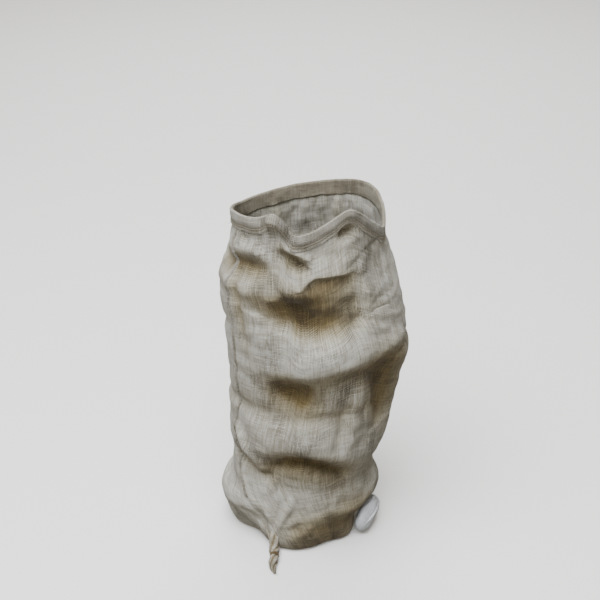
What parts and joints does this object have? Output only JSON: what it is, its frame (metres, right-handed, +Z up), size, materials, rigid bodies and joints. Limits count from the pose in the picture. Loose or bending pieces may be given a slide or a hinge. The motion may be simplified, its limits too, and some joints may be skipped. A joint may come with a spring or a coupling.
{
  "type": "sack race bag",
  "caption": "Open burlap sack standing as worn for a sack race, with a turned mouth hem, side seams, slack rolls of cloth and a bound corner ear.",
  "frame": {"origin": "middle of the base, on the surface the sack stands on", "axes": "+Z up to the mouth; -Y is the front, where the lower hem dips between two raised points; +X is to the right seen from the front"},
  "size_m": [0.3456, 0.3477, 0.6782],
  "materials": {
    "front_panel_burlap": "rough",
    "back_panel_burlap": "rough",
    "front_hem_burlap": "rough",
    "back_hem_burlap": "rough",
    "left_seam_burlap": "rough",
    "right_seam_burlap": "rough",
    "bottom_seam_burlap": "rough",
    "left_ear_burlap": "rough",
    "right_ear_burlap": "rough",
    "left_seam_thread": "rough",
    "right_seam_thread": "rough",
    "bottom_seam_thread": "rough",
    "hem_thread": "rough",
    "binding_thread": "rough"
  },
  "bodies": {
    "sack_body": {"front_panel": "front_panel_burlap", "back_panel": "back_panel_burlap", "left_side_seam": "left_seam_burlap", "right_side_seam": "right_seam_burlap", "left_side_seam_thread": "left_seam_thread", "right_side_seam_thread": "right_seam_thread", "bottom_seam": "bottom_seam_burlap", "bottom_seam_thread": "bottom_seam_thread", "right_corner_ear": "right_ear_burlap"},
    "mouth": {"front_mouth_hem": "front_hem_burlap", "back_mouth_hem": "back_hem_burlap", "front_hem_upper_thread": "hem_thread", "front_hem_lower_thread": "hem_thread", "back_hem_upper_thread": "hem_thread", "back_hem_lower_thread": "hem_thread"},
    "left_ear": {"left_corner_ear": "left_ear_burlap", "left_ear_binding": "binding_thread"}
  },
  "joints": [
    {"name": "mouth_height", "type": "slide", "parent": "sack_body", "child": "mouth", "axis": [0, 0, 1], "range_m": [-0.26, 0.1], "deforming": ["front_panel", "back_panel", "left_side_seam", "right_side_seam", "left_side_seam_thread", "right_side_seam_thread"]},
    {"name": "left_ear_flop", "type": "hinge", "parent": "sack_body", "child": "left_ear", "pos_m": [-0.0483, -0.1327, 0.0304], "axis": [-1, 0, 0], "range_deg": [0, 45]}
  ]
}
